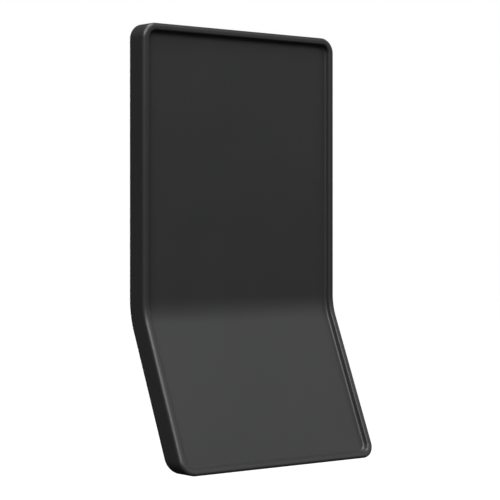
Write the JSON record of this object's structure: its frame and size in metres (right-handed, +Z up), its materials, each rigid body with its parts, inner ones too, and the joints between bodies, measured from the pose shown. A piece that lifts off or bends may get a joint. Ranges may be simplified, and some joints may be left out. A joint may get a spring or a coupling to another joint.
{
  "type": "kick plate",
  "caption": "Bent moulded kick plate with a raised rim and a sloping lip, hung on a hidden wall plate by keyhole slots and studs.",
  "frame": {"origin": "middle of the wall plate's back, on the door's face", "axes": "+Z up, +Y into the door, the front looks along -Y, +X to the right when facing the front, x = 0 in the middle of the width"},
  "size_m": [0.15, 0.0755, 0.2641],
  "materials": {
    "cover": "fine-textured black moulding",
    "core": "zinc-plated sheet",
    "lip_back": "fine-textured black moulding",
    "toe_grip": "matt ribbed rubber",
    "edge_seal": "matt rubber",
    "rattle_pads": "matt rubber",
    "inserts": "turned brass",
    "screws": "zinc-plated",
    "wall_plate": "zinc-plated sheet",
    "studs": "turned steel",
    "door_screws": "stainless"
  },
  "bodies": {
    "bracket": {"wall_plate": "wall_plate", "hook_studs": "studs", "door_screws": "door_screws"},
    "plate": {"front_cover": "cover", "core_plate": "core", "lip_back": "lip_back", "toe_grip": "toe_grip", "edge_seal": "edge_seal", "rattle_pads": "rattle_pads", "cover_inserts": "inserts", "core_screws": "screws", "lip_screws": "screws"}
  },
  "joints": [
    {"name": "plate_lift", "type": "slide", "parent": "bracket", "child": "plate", "axis": [0, 0, 1], "range_m": [0, 0.012]}
  ]
}
